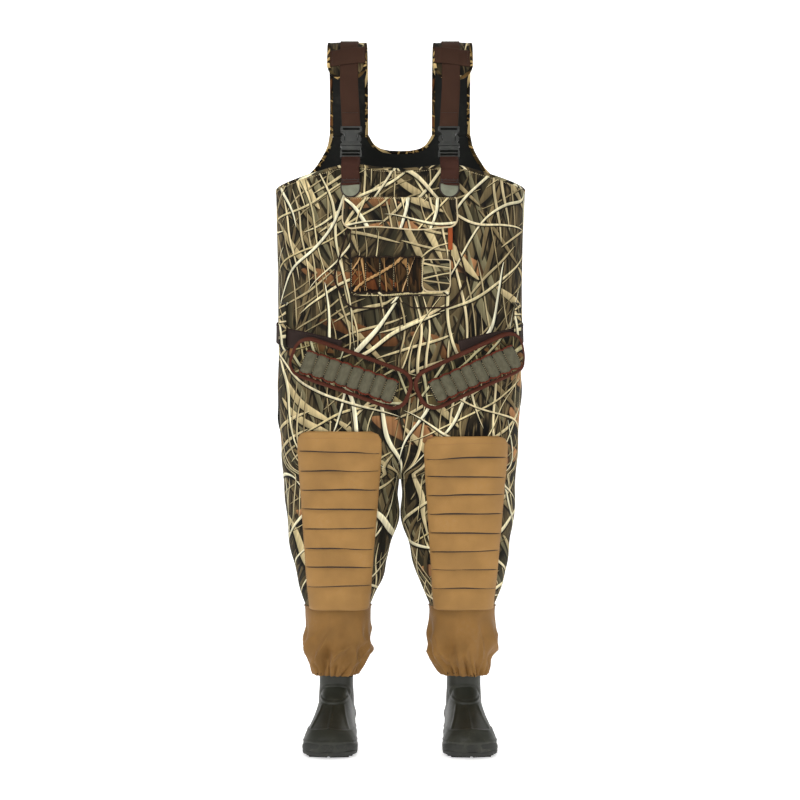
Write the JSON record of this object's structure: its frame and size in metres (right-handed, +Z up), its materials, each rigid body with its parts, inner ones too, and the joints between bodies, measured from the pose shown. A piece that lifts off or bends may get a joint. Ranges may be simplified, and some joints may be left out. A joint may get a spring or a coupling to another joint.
{
  "type": "chest waders",
  "caption": "Neoprene chest waders with a camouflage reed print, moulded rubber boots, pleated knee pads, a flapped chest pocket, buckled shoulder straps and a belt with shell-holder pads",
  "frame": {"origin": "midway between the two shoulder straps, on the undersides of their crests, where they rest on the wearer's shoulders", "axes": "+Z up, -Y the wearer's front, +X the wearer's left"},
  "size_m": [0.5375, 0.3472, 1.5213],
  "materials": {
    "reed_print": "printed reed and leaf camouflage jersey on neoprene foam, matt",
    "strap_webbing": "brown woven polypropylene webbing",
    "belt_webbing": "dark brown woven webbing",
    "elastic": "printed elastic and padded cloth with bound edges",
    "tan_nylon": "tan coated nylon with a low sheen",
    "buckle": "moulded acetal, fine texture",
    "boot_rubber": "olive black moulded rubber, satin",
    "insole": "black felt over foam"
  },
  "bodies": {
    "torso": {"front_bib_panel": "reed_print", "back_bib_panel": "reed_print", "handwarmer_pouch": "reed_print", "cargo_pocket": "reed_print", "accessory_pocket": "reed_print", "left_shoulder_strap": "reed_print", "right_shoulder_strap": "reed_print", "left_tab_patch": "reed_print", "right_tab_patch": "reed_print", "left_belt_loop": "reed_print", "right_belt_loop": "reed_print", "back_belt_loop": "reed_print", "hip_sleeve": "reed_print", "left_shoulder_webbing": "strap_webbing", "right_shoulder_webbing": "strap_webbing", "left_webbing_keeper": "strap_webbing", "right_webbing_keeper": "strap_webbing", "left_drop_webbing": "strap_webbing", "right_drop_webbing": "strap_webbing", "left_strap_tab": "strap_webbing", "right_strap_tab": "strap_webbing", "belt_webbing": "belt_webbing", "belt_slack_webbing": "belt_webbing", "chest_shell_loops": "elastic", "right_shell_pad": "elastic", "right_pad_loops": "elastic", "left_shell_pad": "elastic", "left_pad_loops": "elastic", "left_buckle_plug": "buckle", "right_buckle_plug": "buckle", "belt_buckle_plug": "buckle"},
    "flap": {"pocket_flap": "reed_print"},
    "left_socket": {"left_buckle_socket": "buckle"},
    "left_prong_a_arm": {"left_buckle_prong_a": "buckle"},
    "left_prong_b_arm": {"left_buckle_prong_b": "buckle"},
    "right_socket": {"right_buckle_socket": "buckle"},
    "right_prong_a_arm": {"right_buckle_prong_a": "buckle"},
    "right_prong_b_arm": {"right_buckle_prong_b": "buckle"},
    "belt_socket": {"belt_buckle_socket": "buckle"},
    "belt_prong_a_arm": {"belt_buckle_prong_a": "buckle"},
    "belt_prong_b_arm": {"belt_buckle_prong_b": "buckle"},
    "lower_body": {"left_thigh_sleeve": "reed_print", "right_thigh_sleeve": "reed_print", "left_knee_sleeve": "reed_print", "right_knee_sleeve": "reed_print", "left_knee_pad": "tan_nylon", "right_knee_pad": "tan_nylon"},
    "left_shin": {"left_shin_sleeve": "reed_print", "left_cuff": "tan_nylon"},
    "left_boot": {"left_boot_upper": "boot_rubber", "left_outsole": "boot_rubber", "left_insole": "insole", "left_cuff_elastic": "elastic"},
    "right_shin": {"right_shin_sleeve": "reed_print", "right_cuff": "tan_nylon"},
    "right_boot": {"right_boot_upper": "boot_rubber", "right_outsole": "boot_rubber", "right_insole": "insole", "right_cuff_elastic": "elastic"}
  },
  "joints": [
    {"name": "pocket_flap_lift", "type": "hinge", "parent": "torso", "child": "flap", "pos_m": [0, -0.1573, -0.346], "axis": [-1, 0, 0], "range_deg": [0, 150]},
    {"name": "left_buckle_release", "type": "slide", "parent": "torso", "child": "left_socket", "axis": [0, 0.3598, 0.933], "range_m": [0, 0.035], "deforming": ["left_drop_webbing"]},
    {"name": "left_buckle_squeeze", "type": "hinge", "parent": "torso", "child": "left_prong_a_arm", "pos_m": [0.118, -0.12207, -0.23362], "axis": [0, -0.933, 0.3598], "range_deg": [0, 8], "stiffness_Nm_per_rad": 0.2},
    {"name": "left_buckle_squeeze_b", "type": "hinge", "parent": "torso", "child": "left_prong_b_arm", "pos_m": [0.088, -0.12207, -0.23362], "axis": [0, 0.933, -0.3598], "range_deg": [0, 8], "stiffness_Nm_per_rad": 0.2},
    {"name": "right_buckle_release", "type": "slide", "parent": "torso", "child": "right_socket", "axis": [0, 0.3598, 0.933], "range_m": [0, 0.035], "deforming": ["right_drop_webbing"]},
    {"name": "right_buckle_squeeze", "type": "hinge", "parent": "torso", "child": "right_prong_a_arm", "pos_m": [-0.088, -0.12207, -0.23362], "axis": [0, -0.933, 0.3598], "range_deg": [0, 8], "stiffness_Nm_per_rad": 0.2},
    {"name": "right_buckle_squeeze_b", "type": "hinge", "parent": "torso", "child": "right_prong_b_arm", "pos_m": [-0.118, -0.12207, -0.23362], "axis": [0, 0.933, -0.3598], "range_deg": [0, 8], "stiffness_Nm_per_rad": 0.2},
    {"name": "belt_buckle_release", "type": "slide", "parent": "torso", "child": "belt_socket", "axis": [-0.9397, 0, 0.342], "range_m": [0, 0.03], "deforming": ["belt_slack_webbing"]},
    {"name": "belt_buckle_squeeze", "type": "hinge", "parent": "torso", "child": "belt_prong_a_arm", "pos_m": [-0.0009, -0.1532, -0.73211], "axis": [0, -1, 0], "range_deg": [0, 8], "stiffness_Nm_per_rad": 0.2},
    {"name": "belt_buckle_squeeze_b", "type": "hinge", "parent": "torso", "child": "belt_prong_b_arm", "pos_m": [-0.01116, -0.1532, -0.7603], "axis": [0, 1, 0], "range_deg": [0, 8], "stiffness_Nm_per_rad": 0.2},
    {"name": "hip_fold", "type": "hinge", "parent": "torso", "child": "lower_body", "pos_m": [0, -0.03, -0.823], "axis": [-1, 0, 0], "range_deg": [-10, 45], "stiffness_Nm_per_rad": 4, "deforming": ["hip_sleeve", "left_knee_pad", "right_knee_pad"]},
    {"name": "left_knee_bend", "type": "hinge", "parent": "lower_body", "child": "left_shin", "pos_m": [0.126, 0.02, -1.033], "axis": [1, 0, 0], "range_deg": [0, 85], "stiffness_Nm_per_rad": 2, "deforming": ["left_knee_sleeve", "left_knee_pad"]},
    {"name": "left_ankle_tilt", "type": "hinge", "parent": "left_shin", "child": "left_boot", "pos_m": [0.139, 0.01, -1.288], "axis": [-1, 0, 0], "range_deg": [-15, 20], "stiffness_Nm_per_rad": 1.5, "deforming": ["left_cuff"]},
    {"name": "right_knee_bend", "type": "hinge", "parent": "lower_body", "child": "right_shin", "pos_m": [-0.126, 0.02, -1.033], "axis": [1, 0, 0], "range_deg": [0, 85], "stiffness_Nm_per_rad": 2, "deforming": ["right_knee_sleeve", "right_knee_pad"]},
    {"name": "right_ankle_tilt", "type": "hinge", "parent": "right_shin", "child": "right_boot", "pos_m": [-0.139, 0.01, -1.288], "axis": [-1, 0, 0], "range_deg": [-15, 20], "stiffness_Nm_per_rad": 1.5, "deforming": ["right_cuff"]}
  ],
  "couplings": [
    {"joint": "left_buckle_squeeze_b", "follows": "left_buckle_squeeze", "ratio": 1},
    {"joint": "right_buckle_squeeze_b", "follows": "right_buckle_squeeze", "ratio": 1},
    {"joint": "belt_buckle_squeeze_b", "follows": "belt_buckle_squeeze", "ratio": 1}
  ]
}
